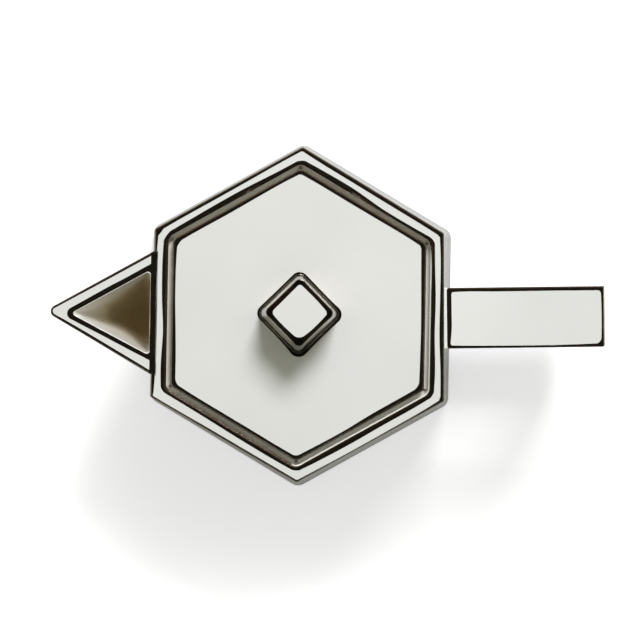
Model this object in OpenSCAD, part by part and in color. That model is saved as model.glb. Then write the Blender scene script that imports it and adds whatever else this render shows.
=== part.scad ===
// Hexagonal porcelain teapot with a triangular open spout, a rectangular strap handle
// and a lift-off lid. All edges that face upwards carry a fired platinum line.
// Millimetres, +Z up. The origin is on the body's axis, at the ground face of the foot.
// The spout points along -X and the handle along +X.

/* [Body] */
// Distance across the flats of the rim
rim_flats = 120; // [100:1:150]
// How far each wall leans out from the rim down to the foot
wall_lean = 10.8; // [2:0.2:16]
// Height of the rim above the table
body_h = 110; // [90:1:132]
// Thickness of the walls at the floor
wall = 4.6; // [3.5:0.1:6]
// Thickness of the floor
floor_t = 6; // [4:0.5:9]
// Width of the flat top of the rim
rim_w = 5.3; // [4.6:0.1:6.5]
// Rounding of the six upright corners at the base
base_corner_r = 5; // [2:0.5:8]
// Rounding of the six corners at the rim
rim_corner_r = 1; // [0.5:0.1:2]

/* [Foot] */
// Height of the unglazed foot
foot_h = 3; // [2:0.5:5]
// How far the foot stands in from the body
foot_inset = 1.5; // [1:0.1:3]

/* [Lid] */
// Thickness of the lid, which is the depth of the seat under the rim
lid_t = 4.5; // [3.5:0.1:7]
// Open groove between the lid and the rim
lid_gap = 1.8; // [1.2:0.1:2.5]
// Rounding of the lid's corners
lid_corner_r = 2; // [1:0.1:4]
// Width of the ledge that the lid rests on
seat_w = 6; // [4.5:0.1:8]
// Thickness of the ledge
seat_t = 5; // [4:0.1:7]
// Play between the lid's flange and the ledge
flange_play = 1.2; // [0.8:0.1:2]
// Thickness of the lid's flange
flange_wall = 3; // [2.5:0.1:4]
// How far the flange reaches below the lid
flange_depth = 12; // [9:0.5:18]

/* [Knob] */
// Side of the knob where it meets the lid
knob_side = 24.5; // [18:0.5:32]
// Side of the knob's top
knob_top_side = 19.2; // [15:0.1:26]
// Height of the knob
knob_h = 20; // [14:0.5:28]
// Side of the white square on the knob's top
knob_face = 15.4; // [10:0.1:14.8]
// Rounding of the knob's upright corners
knob_corner_r = 2.2; // [1:0.1:4]
// Thickness of the platinum coat on the knob
knob_coat = 0.4; // [0.3:0.1:0.8]

/* [Spout] */
// How far the spout's tip stands out from the rim
spout_out = 43.4; // [34:0.2:52]
// Width of the spout's mouth where it meets the rim
spout_w = 52.6; // [42:0.2:62]
// Width of the spout's lower end on the body
spout_low_w = 59; // [50:1:66]
// How far the spout reaches down below the rim
spout_fall = 62; // [48:1:74]
// Thickness of the spout's walls
spout_wall = 5.4; // [4:0.1:6.5]
// Height of the upright lip round the spout's mouth
spout_lip_h = 2; // [1.6:0.1:4]
// Thickness of the spout's sloping floor, measured upright
spout_floor = 9; // [6:0.5:14]
// Rounding of the spout's tip
spout_tip_r = 1.7; // [0.8:0.1:3]
// Thickness of the spout's luted back at the rim
spout_back = 1.9; // [1.5:0.1:3]
// Thickness of the spout's luted back at the channel's foot
spout_low_back = 1; // [0.6:0.1:3]
// How much further in than the lip the channel's sides stand at its foot
channel_taper = 1.6; // [0:0.1:3]
// Diameter of a strainer hole
strainer_d = 5; // [3:0.5:6]
// Distance between strainer holes
strainer_pitch = 8.5; // [7:0.5:10]
// How far the middle row of strainer holes lies below the rim
strainer_fall = 30; // [24:1:36]

/* [Handle] */
// How far the handle stands out from the rim
handle_out = 70; // [58:1:85]
// Width of the handle's strap
handle_w = 25; // [18:0.5:32]
// Thickness of the handle's strap
handle_t = 12; // [8:0.5:16]
// How far the handle's top face lies below the rim
handle_drop = 14; // [3:1:20]
// Height of the handle's underside above the table
handle_low_z = 28; // [18:1:36]
// Rounding of the strap's bends inside the loop
handle_bend_r = 4; // [2:0.5:8]
// Angle by which the handle was luted on out of true
handle_turn = 1.7; // [-3:0.1:3]
// Distance from the rim to the point that the handle is turned about
handle_turn_out = 18; // [8:1:30]

/* [Platinum lines] */
// Depth of every line
line_t = 1.5; // [0.8:0.1:1.5]
// Width of the line on the rim's outer edge
rim_line_out = 1.3; // [0.8:0.1:1.6]
// Width of the line on the rim's inner edge
rim_line_in = 1.6; // [0.8:0.1:2]
// Width of the line round the lid
lid_line = 1.9; // [1:0.1:2.5]
// Width of the line on the spout's outer edge
spout_line_out = 1.1; // [0.8:0.1:1.5]
// Width of the line on the spout's inner edge
spout_line_in = 1.7; // [0.8:0.1:2]
// Width of the line round the handle's top
handle_line = 1.4; // [0.8:0.1:2.5]

/* [Hidden] */
$fn = 32;

slice = 0.01;         // thickness of the slices that a lofted solid is hulled from
through = 1;          // how far a cutting solid runs past the face that it cuts
hex_sides = 6;

base_flats = rim_flats + 2 * wall_lean;
seat_z = body_h - lid_t;
cavity_z = foot_h + floor_t;
mouth_flats = rim_flats - 2 * rim_w;
cavity_flats = base_flats - 2 * wall;
lid_flats = mouth_flats - 2 * lid_gap;
seat_flats = mouth_flats - 2 * seat_w;
flange_flats = seat_flats - 2 * flange_play;
line_z = body_h - line_t;
over_z = body_h + through;

// How far a wall leans out for each millimetre down, outside and inside
outer_flare = wall_lean / (body_h - foot_h - slice);
inner_flare = (cavity_flats - mouth_flats) / 2 / (body_h - cavity_z - slice);

// Half width of the body across its flats at height z
function wall_x(z) = rim_flats / 2 + outer_flare * (body_h - z);

spout_reach = rim_flats / 2 + spout_out;
spout_low_z = body_h - spout_fall;
lip_z = body_h - spout_lip_h;
strainer_z = body_h - strainer_fall;
strainer_len = 3 * spout_wall;
handle_reach = rim_flats / 2 + handle_out;
handle_top_z = body_h - handle_drop;
handle_turn_x = rim_flats / 2 + handle_turn_out;

// The spout's plan is a triangle. Its sides run from the rim to a rounded tip.
// The sharp corner that the rounding replaces lies a little further out than the tip.
function apex_x(reach, half_w, root_x, r) =
    let (half_angle = atan(half_w / (reach - root_x)))
    reach + r / sin(half_angle) - r;
spout_apex = apex_x(spout_reach, spout_w / 2, rim_flats / 2, spout_tip_r);
spout_half_angle = atan(spout_w / 2 / (spout_apex - rim_flats / 2));
spout_root_x = rim_flats / 2 - 4 * spout_tip_r; // far enough inside the body to lose the rounding there
channel_root_x = rim_flats / 2 + spout_back;
channel_z = spout_low_z + spout_floor;
channel_low_w = spout_low_w - 2 * (spout_wall + channel_taper);

module hexagon(flats, r) {
    rotate(360 / hex_sides / 2)
        offset(r = r)
            circle(r = (flats / 2 - r) / cos(180 / hex_sides), $fn = hex_sides);
}

module hex_plate(flats, r, z0, z1) {
    translate([0, 0, z0])
        linear_extrude(z1 - z0)
            hexagon(flats, r);
}

module hex_ring(flats_out, r_out, flats_in, r_in, z0, z1) {
    translate([0, 0, z0])
        linear_extrude(z1 - z0)
            difference() {
                hexagon(flats_out, r_out);
                hexagon(flats_in, r_in);
            }
}

module rounded_square(side, r) {
    rotate(45)
        offset(r = r)
            square(side - 2 * r, center = true);
}

// ---- shared solids that neighbouring pieces are cut to ----

module body_solid() {
    hull() {
        hex_plate(base_flats, base_corner_r, foot_h, foot_h + slice);
        hex_plate(rim_flats, rim_corner_r, body_h - slice, body_h);
    }
}

// The cavity runs on past the rim at the lean of its walls.
module cavity_solid() {
    hull() {
        hex_plate(cavity_flats, base_corner_r, cavity_z, cavity_z + slice);
        hex_plate(mouth_flats - 2 * inner_flare * through, rim_corner_r, over_z - slice, over_z);
    }
}

module rim_outer_groove() {
    hex_ring(base_flats, rim_corner_r, rim_flats - 2 * rim_line_out, rim_corner_r, line_z, over_z);
}

module rim_inner_groove() {
    hex_plate(mouth_flats + 2 * rim_line_in, rim_corner_r, line_z, over_z);
}

module lid_edge_groove(flats_out, top_z) {
    hex_ring(flats_out, lid_corner_r, lid_flats - 2 * lid_line, lid_corner_r, line_z, top_z);
}

// ---- body ----

module foot() {
    color("tan")
        hex_plate(base_flats - 2 * foot_inset, base_corner_r, 0, foot_h);
}

module strainer_holes() {
    rows = [[-1, 3], [0, 4], [1, 3]];
    for (row = rows)
        for (i = [0 : row[1] - 1])
            translate([
                -wall_x(strainer_z) - spout_wall,
                (i - (row[1] - 1) / 2) * strainer_pitch,
                strainer_z + row[0] * strainer_pitch * cos(30)
            ])
                rotate([0, 90, 0])
                    cylinder(d = strainer_d, h = strainer_len);
}

module body() {
    color("whitesmoke")
        difference() {
            body_solid();
            cavity_solid();
            rim_outer_groove();
            rim_inner_groove();
            strainer_holes();
        }
}

module lid_seat() {
    color("gainsboro")
        difference() {
            intersection() {
                cavity_solid();
                hex_plate(base_flats, base_corner_r, seat_z - seat_t, seat_z);
            }
            hex_plate(seat_flats, rim_corner_r, seat_z - seat_t - through, seat_z + through);
        }
}

// ---- spout ----

// The triangle is drawn in from its outer edge by inset, and ends at root_x.
module spout_plan(inset, r, root_x) {
    tip = spout_apex - inset / sin(spout_half_angle);
    half = (tip - root_x) * tan(spout_half_angle);
    offset(r = r)
        offset(delta = -r)
            polygon([[-tip, 0], [-root_x, half], [-root_x, -half]]);
}

module spout_edge_plan(inset) {
    spout_plan(inset, spout_tip_r, spout_root_x);
}

module spout_low_bar(half_w, z, root_x, depth) {
    translate([-root_x - depth, -half_w, z])
        cube([depth, 2 * half_w, slice]);
}

module spout_form() {
    hull() {
        translate([0, 0, lip_z])
            linear_extrude(spout_lip_h)
                spout_edge_plan(0);
        spout_low_bar(spout_low_w / 2, spout_low_z, wall_x(spout_low_z) - wall, wall + slice);
    }
}

module spout_channel() {
    hull() {
        translate([0, 0, line_z])
            linear_extrude(over_z - line_z)
                spout_plan(spout_wall, spout_tip_r, channel_root_x);
        spout_low_bar(channel_low_w / 2, channel_z, wall_x(channel_z) + spout_low_back, slice);
    }
}

module spout_outer_groove() {
    translate([0, 0, line_z])
        linear_extrude(over_z - line_z)
            difference() {
                translate([-2 * spout_reach, -spout_reach])
                    square(2 * spout_reach);
                spout_edge_plan(spout_line_out);
            }
}

module spout_inner_groove(top_z) {
    translate([0, 0, line_z])
        linear_extrude(top_z - line_z)
            spout_edge_plan(spout_wall - spout_line_in);
}

module spout() {
    color("white")
        difference() {
            spout_form();
            body_solid();
            spout_channel();
            spout_outer_groove();
            spout_inner_groove(over_z);
            strainer_holes();
        }
}

// ---- handle ----

module handle_place() {
    translate([handle_turn_x, 0, 0])
        rotate([0, 0, handle_turn])
            translate([-handle_turn_x, 0, 0])
                children();
}

module handle_frame_plan() {
    root_x = wall_x(handle_top_z) + handle_line;
    difference() {
        translate([root_x, -handle_w / 2])
            square([handle_reach - root_x, handle_w]);
        translate([root_x + handle_line, handle_line - handle_w / 2])
            square([handle_reach - root_x - 2 * handle_line, handle_w - 2 * handle_line]);
    }
}

module handle_frame_solid() {
    handle_place()
        translate([0, 0, handle_top_z - line_t])
            linear_extrude(line_t)
                handle_frame_plan();
}

module handle_profile() {
    difference() {
        translate([0, handle_low_z])
            square([handle_reach, handle_top_z - handle_low_z]);
        offset(r = handle_bend_r)
            offset(delta = -handle_bend_r)
                translate([0, handle_low_z + handle_t])
                    square([handle_reach - handle_t, handle_top_z - handle_low_z - 2 * handle_t]);
    }
}

module handle() {
    color("white")
        difference() {
            handle_place()
                rotate([90, 0, 0])
                    linear_extrude(handle_w, center = true)
                        handle_profile();
            body_solid();
            cavity_solid();
            handle_frame_solid();
        }
}

// ---- lid ----

module lid_plate() {
    color("ghostwhite")
        difference() {
            hex_plate(lid_flats, lid_corner_r, seat_z, body_h);
            lid_edge_groove(mouth_flats, over_z);
        }
}

module lid_flange() {
    color("gainsboro")
        hex_ring(flange_flats, lid_corner_r, flange_flats - 2 * flange_wall, lid_corner_r,
            seat_z - flange_depth, seat_z);
}

module knob_loft(inset) {
    hull() {
        translate([0, 0, body_h])
            linear_extrude(slice)
                rounded_square(knob_side - 2 * inset, knob_corner_r - inset);
        translate([0, 0, body_h + knob_h - slice - inset])
            linear_extrude(slice)
                rounded_square(knob_top_side - 2 * inset, knob_corner_r - inset);
    }
}

module knob() {
    color("white") {
        knob_loft(knob_coat);
        translate([0, 0, body_h + knob_h - knob_coat])
            linear_extrude(knob_coat)
                rounded_square(knob_face, knob_coat);
    }
}

module knob_platinum() {
    color("dimgray")
        difference() {
            knob_loft(0);
            knob();
        }
}

// ---- platinum lines ----

module rim_outer_line() {
    color("dimgray")
        intersection() {
            body_solid();
            rim_outer_groove();
        }
}

module rim_inner_line() {
    color("dimgray")
        difference() {
            intersection() {
                body_solid();
                rim_inner_groove();
            }
            cavity_solid();
        }
}

module spout_outer_line() {
    color("dimgray")
        difference() {
            intersection() {
                spout_form();
                spout_outer_groove();
            }
            body_solid();
        }
}

module spout_inner_line() {
    color("dimgray")
        difference() {
            spout_inner_groove(body_h);
            spout_channel();
            body_solid();
        }
}

module handle_line_frame() {
    color("dimgray")
        handle_frame_solid();
}

module lid_edge_line() {
    color("dimgray")
        lid_edge_groove(lid_flats, body_h);
}

foot();
body();
lid_seat();
spout();
handle();
lid_plate();
lid_flange();
knob();
rim_outer_line();
rim_inner_line();
spout_outer_line();
spout_inner_line();
handle_line_frame();
lid_edge_line();
knob_platinum();
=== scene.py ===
import math
import bmesh
import bpy
from mathutils import Matrix, Vector, noise


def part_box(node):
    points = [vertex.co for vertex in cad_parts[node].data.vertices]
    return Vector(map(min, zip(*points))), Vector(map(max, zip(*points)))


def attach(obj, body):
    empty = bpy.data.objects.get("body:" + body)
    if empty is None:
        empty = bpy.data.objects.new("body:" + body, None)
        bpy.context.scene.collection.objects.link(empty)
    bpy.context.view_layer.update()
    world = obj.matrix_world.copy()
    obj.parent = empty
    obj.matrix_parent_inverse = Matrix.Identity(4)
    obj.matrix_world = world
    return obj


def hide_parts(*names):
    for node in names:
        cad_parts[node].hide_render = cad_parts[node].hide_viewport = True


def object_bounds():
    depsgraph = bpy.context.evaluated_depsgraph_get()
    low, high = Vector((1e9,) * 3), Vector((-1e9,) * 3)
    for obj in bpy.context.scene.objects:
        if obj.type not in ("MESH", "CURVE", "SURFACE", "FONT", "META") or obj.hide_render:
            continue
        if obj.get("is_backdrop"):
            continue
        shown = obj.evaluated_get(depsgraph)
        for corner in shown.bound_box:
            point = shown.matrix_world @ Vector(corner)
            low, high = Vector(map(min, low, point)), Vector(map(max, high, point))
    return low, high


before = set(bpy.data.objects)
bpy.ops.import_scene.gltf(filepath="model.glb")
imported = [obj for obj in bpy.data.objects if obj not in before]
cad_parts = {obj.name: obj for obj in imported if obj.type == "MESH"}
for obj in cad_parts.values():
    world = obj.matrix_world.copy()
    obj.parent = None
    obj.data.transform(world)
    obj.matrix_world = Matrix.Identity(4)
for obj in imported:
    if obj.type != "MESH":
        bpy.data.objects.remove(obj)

cad_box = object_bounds()


# ------------------------------------------------------------------------
# Foot: the low hexagonal ring of bare porcelain that the pot stands on. It is part of
# the casting, wiped clean of glaze and ground flat, so it is matt and a little warmer
# in colour than the glazed body above it.
MM = 0.001
HALF_TURN = math.radians(30)        # half the turn from one side of a hexagon to the next


def linear(hex_colour):
    """An sRGB colour such as "E8E4DA" as linear red, green, blue and alpha."""
    parts = [int(hex_colour[i:i + 2], 16) / 255 for i in (0, 2, 4)]
    return [c / 12.92 if c <= 0.04045 else ((c + 0.055) / 1.055) ** 2.4 for c in parts] + [1]


def add_node(tree, kind, links=None, stops=None, **settings):
    """Adds a shader node with its settings or input values by name, its links, and its ramp's stops."""
    node = tree.nodes.new("ShaderNode" + kind)
    for name, value in settings.items():
        if hasattr(node, name):
            setattr(node, name, value)
        else:
            node.inputs[name.replace("_", " ")].default_value = value
    for name, output in (links or {}).items():
        tree.links.new(output, node.inputs[name])
    for i, (position, value) in enumerate(stops or []):
        spot = node.color_ramp.elements[i] if i < 2 else node.color_ramp.elements.new(1)
        spot.position = position
        spot.color = linear(value) if isinstance(value, str) else (value, value, value, 1)
    return node


def pick(kind, wanted):
    """In edit mode, selects only the verts, edges or faces for which wanted(part) is true."""
    bpy.ops.mesh.select_mode(type={"verts": "VERT", "edges": "EDGE", "faces": "FACE"}[kind])
    bpy.ops.mesh.select_all(action="DESELECT")
    shape = bmesh.from_edit_mesh(bpy.context.object.data)
    for part in getattr(shape, kind):
        if wanted(part):
            part.select_set(True)
    shape.select_flush_mode()
    bmesh.update_edit_mesh(bpy.context.object.data)


def start_piece(name):
    """Names the primitive that was just added and opens it in edit mode."""
    piece = bpy.context.object
    piece.name = piece.data.name = name
    bpy.ops.object.transform_apply()
    bpy.ops.object.mode_set(mode="EDIT")
    return piece


def bevel(kind, wanted, offset, segments):
    """Rounds the wanted verts or edges."""
    pick(kind, wanted)
    bpy.ops.mesh.bevel(offset=offset, segments=segments, affect="VERTICES" if kind == "verts" else "EDGES")


def extrude(x, y, z):
    """Extrudes the selected faces by a distance along each axis."""
    bpy.ops.mesh.extrude_region_move(TRANSFORM_OT_translate={"value": (x, y, z)})


def arc(z, half, corner, radius, start, stop, steps=5):
    """Rings round an edge that is rounded in its height, as (height, half width, corner radius)."""
    turns = [math.radians(start + (stop - start) * i / steps) for i in range(steps + 1)]
    outs = [radius * math.cos(a) for a in turns]
    return [(z + radius * math.sin(a), half + out, corner + out) for a, out in zip(turns, outs)]


def is_cap(face, z):
    """Whether a face is a many-sided one with its middle at height z, such as a block's flat end."""
    return len(face.verts) > 4 and abs(face.calc_center_median().z - z) < 0.001 * MM


def draw_block(name, sides, rings):
    """Draws a flat-sided block with rounded corners up through its rings, and leaves it in edit mode."""
    z, half, corner = rings[0]
    half_turn = math.pi / sides
    bpy.ops.object.select_all(action="DESELECT")
    bpy.ops.mesh.primitive_circle_add(vertices=sides, radius=half / math.cos(half_turn), fill_type="NGON",
                                      location=(0, 0, z))
    block = start_piece(name)
    sharp = [v.co.xy / half for v in block.data.vertices]
    bevel("verts", lambda v: True, corner * math.tan(half_turn), 8)
    shape = bmesh.from_edit_mesh(block.data)
    for v in shape.verts:
        spot = max(sharp, key=v.co.xy.dot) * (half - corner)
        v.co.xy = spot + (v.co.xy - spot).normalized() * corner
    bmesh.update_edit_mesh(block.data)
    for new_z, new_half, new_corner in rings[1:]:
        pick("faces", lambda f: is_cap(f, z))
        extrude(0, 0, new_z - z)
        grow = new_half / half
        bpy.ops.transform.resize(value=(grow, grow, 1), center_override=(0, 0, new_z))
        z, half, corner = new_z, new_half, corner * grow
        tighten = new_corner / corner
        near = corner * math.tan(half_turn) + 0.05 * MM
        for spot in sharp if abs(tighten - 1) > 0.01 else []:
            centre = (spot * half).to_3d() + Vector((0, 0, z))
            pick("verts", lambda v: (v.co - centre).length < near and any(is_cap(f, z) for f in v.link_faces))
            bpy.ops.transform.resize(value=(tighten, tighten, 1), center_override=centre)
            corner = new_corner
    return block


def close_piece(smooth_angle=35):
    """Merges doubles, turns the skin outwards, leaves edit mode and shades flats flat and curves smooth."""
    bpy.ops.mesh.select_all(action="SELECT")
    bpy.ops.mesh.remove_doubles(threshold=0.002 * MM)
    bpy.ops.mesh.normals_make_consistent(inside=False)
    bpy.ops.object.mode_set(mode="OBJECT")
    bpy.ops.object.shade_smooth_by_angle(angle=math.radians(smooth_angle))
    bpy.ops.object.modifier_add(type="WEIGHTED_NORMAL")
    weighted = bpy.context.object.modifiers[-1]
    weighted.keep_sharp = True
    bpy.ops.object.modifier_apply(modifier=weighted.name)


def open_nodes(material):
    """A material's node tree, its shader and its piece's own coordinates."""
    material.use_nodes = True
    tree = material.node_tree
    found = [node for node in tree.nodes if node.type == "TEX_COORD"] or [add_node(tree, "TexCoord")]
    return tree, tree.nodes["Principled BSDF"], found[0].outputs["Object"]


foot_low, foot_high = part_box("foot")
foot_corner = 5 * MM
foot_edge = 0.8 * MM

foot = draw_block("foot_biscuit", 6, arc(
    foot_low.z + foot_edge, foot_high.x - foot_edge, foot_corner - foot_edge, foot_edge, -90, 0)
    + [(foot_high.z, foot_high.x, foot_corner)])
close_piece()

# Biscuit porcelain: fired clay without glaze. It has no gloss, a fine sanded grain and a faint
# cloudiness where it was sponged.
biscuit = bpy.data.materials.new("biscuit_porcelain")
tree, shader, place = open_nodes(biscuit)
grit = add_node(tree, "TexNoise", {"Vector": place}, Scale=1 / (0.4 * MM), Detail=3)
cloud = add_node(tree, "TexNoise", {"Vector": place}, Scale=1 / (18 * MM), Detail=4)
tone = add_node(tree, "ValToRGB", {"Fac": cloud.outputs["Fac"]}, [(0.35, "DDD5C6"), (0.7, "E9E3D8")])
matt = add_node(tree, "ValToRGB", {"Fac": grit.outputs["Fac"]}, [(0.3, 0.6), (0.7, 0.85)])
grain = add_node(tree, "Bump", {"Height": grit.outputs["Fac"]}, Strength=0.4, Distance=0.05 * MM)
tree.links.new(tone.outputs["Color"], shader.inputs["Base Color"])
tree.links.new(matt.outputs["Color"], shader.inputs["Roughness"])
tree.links.new(grain.outputs["Normal"], shader.inputs["Normal"])
foot.data.materials.append(biscuit)

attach(foot, "pot")
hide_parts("foot")


# ------------------------------------------------------------------------
# Body: the slip-cast hexagonal pot. Its walls lean out towards the base, the upright
# edges are bare and round off more and more downwards, and ten strainer holes are
# pierced through the wall behind the spout.
body_low, body_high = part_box("body")
base_half = body_high.x
rim_z = body_high.z
rim_half = 60 * MM
rim_width = 5.3 * MM
rim_corner = 1 * MM
TRIM = math.radians(34.5)           # how steeply each edge that was trimmed by hand falls away
rim_trim = 0.45 * MM                # how far the trimming runs in from the edge
base_corner = 5.15 * MM
base_edge = 0.9 * MM
mouth_half = rim_half - rim_width
mouth_corner = 3.6 * MM
mouth_trim = 0.9 * MM
cavity_z = 9 * MM
cavity_half = base_half - 4.6 * MM
cavity_corner = 5 * MM
cavity_edge = 4 * MM
wall_lean = (base_half - rim_half) / (rim_z - body_low.z)
# The rim was trimmed by hand, so its outer corners lie a little off a true hexagon.
rim_shifts = [Vector(s) * MM for s in (
    (1.4, -0.3), (0, 0.45), (0.55, 0.7), (-0.35, 0.2), (-1.15, -0.55), (0.45, -0.6))]


def hexagon(half):
    """The corners of a hexagon, anticlockwise from the lower right one."""
    reach = half / math.cos(HALF_TURN)
    return [Vector((math.cos(a), math.sin(a))) * reach for a in (math.radians(60 * i - 30) for i in range(6))]


body_base = arc(body_low.z + base_edge, base_half - base_edge, base_corner - base_edge, base_edge, -90, 0)
body_rim = [(rim_z - rim_trim * math.tan(TRIM), rim_half, rim_corner),
            (rim_z, rim_half - rim_trim, rim_corner - rim_trim)]
body_mouth = [(rim_z, mouth_half + mouth_trim, mouth_corner + mouth_trim),
              (rim_z - mouth_trim * math.tan(TRIM), mouth_half, mouth_corner)]
body_floor = arc(cavity_z + cavity_edge, cavity_half - cavity_edge, cavity_corner - cavity_edge,
                 cavity_edge, 0, -90, 6)
body = draw_block("body_glazed", 6, body_base + body_rim + body_mouth + body_floor)
for spot, shift in zip(hexagon(rim_half), rim_shifts):
    pick("verts", lambda v: v.co.z > rim_z - 0.5 * MM and (v.co.xy - spot).length < 2 * MM)
    bpy.ops.transform.translate(value=shift.to_3d())
bpy.ops.object.mode_set(mode="OBJECT")

hole_radius = 2.5 * MM
hole_pitch = 8.5 * MM
hole_z = 80 * MM
hole_rows = {-1: 3, 0: 4, 1: 3}     # how many holes each row has, from the lowest row to the highest
hole_wall = rim_half + wall_lean * (rim_z - hole_z) - 2.8 * MM    # halfway through the wall
bpy.ops.object.select_all(action="DESELECT")
bpy.ops.mesh.primitive_cylinder_add(vertices=24, radius=hole_radius, depth=10 * MM)
first_pin = bpy.context.object
pins = []
for row, count in hole_rows.items():
    for i in range(count):
        pin = first_pin.copy()
        pin.data = first_pin.data.copy()
        height = hole_z + row * hole_pitch * math.cos(HALF_TURN)
        pin.matrix_world = (Matrix.Translation((-hole_wall, (i - (count - 1) / 2) * hole_pitch, height))
                            @ Matrix.Rotation(math.radians(90), 4, "Y"))
        bpy.context.scene.collection.objects.link(pin)
        pins.append(pin)
bpy.data.objects.remove(first_pin)
bpy.ops.object.select_all(action="DESELECT")
for pin in pins:
    pin.select_set(True)
bpy.context.view_layer.objects.active = pins[0]
bpy.ops.object.join()
piercer = bpy.context.object
bpy.ops.object.transform_apply()


def cut_away(piece, cutter):
    """Takes the cutter's shape out of the piece, and leaves the piece in edit mode."""
    bpy.ops.object.select_all(action="DESELECT")
    piece.select_set(True)
    bpy.context.view_layer.objects.active = piece
    bpy.ops.object.modifier_add(type="BOOLEAN")
    cut = piece.modifiers[-1]
    cut.object = cutter
    cut.operation = "DIFFERENCE"
    cut.solver = "EXACT"
    bpy.ops.object.modifier_apply(modifier=cut.name)
    bpy.ops.object.mode_set(mode="EDIT")


cut_away(body, piercer)
close_piece(25)

# Glazed porcelain: white clay dipped in a clear glaze and fired. The glaze is glassy and smooth,
# settles in slow waves, and its colour is painted greyer towards the foot as painted shade on the walls.
glaze = bpy.data.materials.new("glazed_porcelain")
tree, shader, place = open_nodes(glaze)
shader.inputs["IOR"].default_value = 1.5
cloud = add_node(tree, "TexNoise", {"Vector": place}, Scale=1 / (40 * MM), Detail=3)
wave = add_node(tree, "TexNoise", {"Vector": place}, Scale=1 / (16 * MM), Detail=2)
peel = add_node(tree, "TexNoise", {"Vector": place}, Scale=1 / (1.4 * MM), Detail=2)
tone = add_node(tree, "ValToRGB", {"Fac": cloud.outputs["Fac"]}, [(0.3, "E6E7E2"), (0.7, "EBEBE7")])
low = add_node(tree, "SeparateXYZ", {"Vector": place})
# Painted shade: the glaze colour is made darker towards the foot.
lower_shade = add_node(tree, "MapRange", {"Value": low.outputs["Z"]},
                 From_Min=10 * MM, From_Max=95 * MM, To_Min=0.7, To_Max=1)
shade = add_node(tree, "VectorMath", {0: tone.outputs["Color"], 1: lower_shade.outputs["Result"]},
                 operation="MULTIPLY")
gloss = add_node(tree, "ValToRGB", {"Fac": wave.outputs["Fac"]}, [(0.3, 0.08), (0.7, 0.16)])
slow = add_node(tree, "Bump", {"Height": wave.outputs["Fac"]}, Strength=0.6, Distance=0.25 * MM)
fine = add_node(tree, "Bump", {"Height": peel.outputs["Fac"], "Normal": slow.outputs["Normal"]},
                Strength=0.5, Distance=0.01 * MM)
tree.links.new(shade.outputs[0], shader.inputs["Base Color"])
tree.links.new(gloss.outputs["Color"], shader.inputs["Roughness"])
tree.links.new(fine.outputs["Normal"], shader.inputs["Normal"])
body.data.materials.append(glaze)

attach(body, "pot")
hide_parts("body")


# ------------------------------------------------------------------------
# Lid seat: the ledge luted inside the mouth, which the lid rests on. Its top is the
# floor of the groove round the lid, and its glaze is painted darker there as shade.
seat_low, seat_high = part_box("lid_seat")
seat_half = seat_high.x
seat_inner_half = 48.7 * MM

seat = draw_block("lid_seat_ledge", 6, [
    (seat_low.z, seat_half, mouth_corner), (seat_high.z, seat_half, mouth_corner)])
pick("faces", lambda f: is_cap(f, seat_low.z) or is_cap(f, seat_high.z))
bpy.ops.mesh.inset(thickness=seat_half - seat_inner_half, use_even_offset=True)
bpy.ops.mesh.bridge_edge_loops()
close_piece()

# The same glaze, painted warmer and darker as painted shade on the floor of the groove.
groove_shade_glaze = glaze.copy()
groove_shade_glaze.name = "glazed_porcelain_groove_shade"
ramp = [n for n in groove_shade_glaze.node_tree.nodes if n.type == "VALTORGB"][0].color_ramp
for spot, colour in zip(ramp.elements, ["E2DFD4", "EAE8E0"]):
    spot.color = linear(colour)
seat.data.materials.append(groove_shade_glaze)

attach(seat, "pot")
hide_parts("lid_seat")


# ------------------------------------------------------------------------
# Spout: an open-topped triangular beak luted to the wall, level with the rim. Its
# channel is a smooth funnel that falls to the strainer holes, with a narrow rounded lip.
spout_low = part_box("spout")[0]
spout_side = math.radians(29.65)    # between each side of the beak and its middle line
spout_sway = -0.3 * MM              # it was luted a little off the middle of the wall
spout_tip = 2.6 * MM
spout_lip = 2 * MM                  # how far below the rim its outer edge stays upright
spout_trim = 0.4 * MM
spout_drop = spout_trim * math.tan(TRIM)
spout_into_wall = 1.5 * MM
spout_heel_half = 29 * MM
spout_apex = spout_low.x - 0.98 * spout_tip    # where its two sides would meet
# The channel was cut by hand, so its sides do not run quite parallel to the beak's.
channel_corners = [Vector((-94.9, -1.1)) * MM, Vector((-61.7, -18.1)) * MM, Vector((-61.7, 17.7)) * MM]
channel_foot = [Vector((-79.5, -0.7)) * MM, Vector((-66.4, -12.8)) * MM, Vector((-66.4, 15)) * MM]
channel_floor_z = 68 * MM
channel_tip = 1.1 * MM
channel_corner = 1.3 * MM
channel_keel = 6 * MM               # the rounding of the funnel's tip at its foot
channel_edge = 0.22 * MM
channel_close = 0.75                # the share of its depth at which it starts to close
channel_lip = 0.013                 # the share of its depth that its rounded lip takes
channel_rings = 24
CORNER_SHARE = 0.1                  # how much of the way from corner to corner each half corner takes


def wall_at(z):
    """The half width of the body at height z."""
    return rim_half + wall_lean * (rim_z - z)


def outline_point(corners, radii, way):
    """A point on a convex outline with rounded corners; way counts the corners passed, anticlockwise."""
    def corner_arc(i, share):
        here, before, after = corners[i], corners[i - 1], corners[(i + 1) % len(corners)]
        back = (before - here).normalized()
        bisector = (back + (after - here).normalized()).normalized()
        half = back.angle(bisector)
        swing = share * (math.pi / 2 - half)
        out = Matrix.Rotation(swing, 2) @ -bisector
        return here + bisector * radii[i] / math.sin(half) + out * radii[i]
    i = math.floor(way) % len(corners)
    part = way - math.floor(way)
    after = (i + 1) % len(corners)
    if part < CORNER_SHARE:
        return corner_arc(i, part / CORNER_SHARE)
    if part > 1 - CORNER_SHARE:
        return corner_arc(after, (part - 1) / CORNER_SHARE)
    along = (part - CORNER_SHARE) / (1 - 2 * CORNER_SHARE)
    return corner_arc(i, 1).lerp(corner_arc(after, -1), along)


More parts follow.
